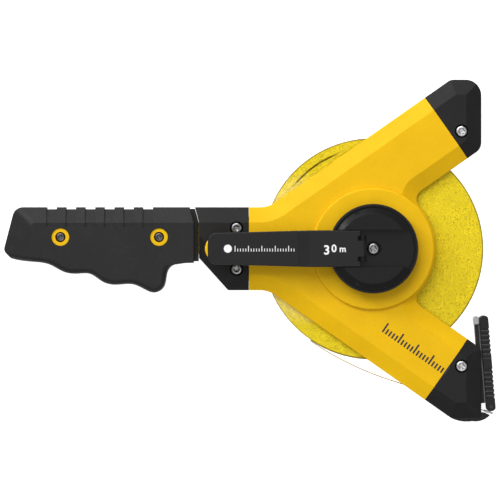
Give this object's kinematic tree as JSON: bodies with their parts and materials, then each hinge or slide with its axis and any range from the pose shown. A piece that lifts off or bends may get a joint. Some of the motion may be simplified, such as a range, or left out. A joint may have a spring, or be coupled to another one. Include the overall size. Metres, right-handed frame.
{
  "type": "surveyor tape reel",
  "caption": "Open-frame long measuring tape reel: Y-shaped yellow frame, black grip, wound tape, flip-over crank and a folding end fitting at the tape's mouth.",
  "frame": {"origin": "on the reel's axis, in the plane of the rear face that the reel lies on", "axes": "+X from the grip towards the tape's mouth, +Y towards the upper arm, +Z along the reel's axis, up from the rear face towards the crank"},
  "size_m": [0.3694, 0.2568, 0.053],
  "materials": {
    "yellow_plastic": "warm yellow moulded plastic, satin, bevelled edges",
    "black_plastic": "black moulded plastic, fine grain",
    "black_grip": "black grip plastic, fine leathery grain",
    "zinc_steel": "zinc-plated steel",
    "spring_steel": "bright stainless strip",
    "brass": "turned brass",
    "nylon": "natural nylon",
    "drum_plastic": "black moulded plastic",
    "tape_glass": "yellow coated fibreglass tape, printed graduations"
  },
  "bodies": {
    "frame": {"frame_front": "yellow_plastic", "frame_rear": "yellow_plastic", "upper_cap": "black_plastic", "lower_cap": "black_plastic", "cap_screws": "zinc_steel", "cap_nuts": "zinc_steel", "collar_front": "black_grip", "collar_rear": "black_grip", "collar_screws": "zinc_steel", "collar_nuts": "zinc_steel", "grip_front": "black_grip", "grip_rear": "black_grip", "grip_screws": "zinc_steel", "grip_nuts": "zinc_steel", "front_bush": "nylon", "rear_bush": "nylon", "tape_lead": "tape_glass"},
    "reel": {"spool_drum": "drum_plastic", "tape_anchor": "zinc_steel", "tape_coil": "tape_glass", "crank_hub": "black_plastic", "hub_screw": "zinc_steel", "drum_insert": "brass", "hinge_pin": "zinc_steel"},
    "crank": {"crank_arm": "black_plastic", "knob_axle": "zinc_steel"},
    "knob": {"crank_knob": "yellow_plastic"},
    "tape_end": {"tape_stub": "tape_glass", "tape_clamp": "spring_steel", "clamp_rivets": "zinc_steel"},
    "end_hook": {"end_pin": "zinc_steel", "end_grip": "black_grip", "end_claw": "spring_steel", "claw_sleeve": "black_grip", "claw_rivets": "zinc_steel"}
  },
  "joints": [
    {"name": "reel_spin", "type": "hinge", "parent": "frame", "child": "reel", "pos_m": [0, 0, 0.016], "axis": [0, 0, 1], "range_deg": [0, 345]},
    {"name": "crank_fold", "type": "hinge", "parent": "reel", "child": "crank", "pos_m": [-0.008, 0, 0.0505], "axis": [0, 1, 0], "range_deg": [0, 180]},
    {"name": "knob_spin", "type": "hinge", "parent": "crank", "child": "knob", "pos_m": [-0.1159, 0, 0.0388], "axis": [0, 0, 1], "continuous": true},
    {"name": "tape_pull", "type": "slide", "parent": "frame", "child": "tape_end", "axis": [0.9511, -0.309, 0], "range_m": [0, 0.5]},
    {"name": "hook_fold", "type": "hinge", "parent": "tape_end", "child": "end_hook", "pos_m": [0.0889, -0.11867, 0.016], "axis": [0, 0, -1], "range_deg": [0, 112]}
  ],
  "couplings": [
    {"joint": "reel_spin", "follows": "tape_pull", "rad_per_m": 12}
  ]
}
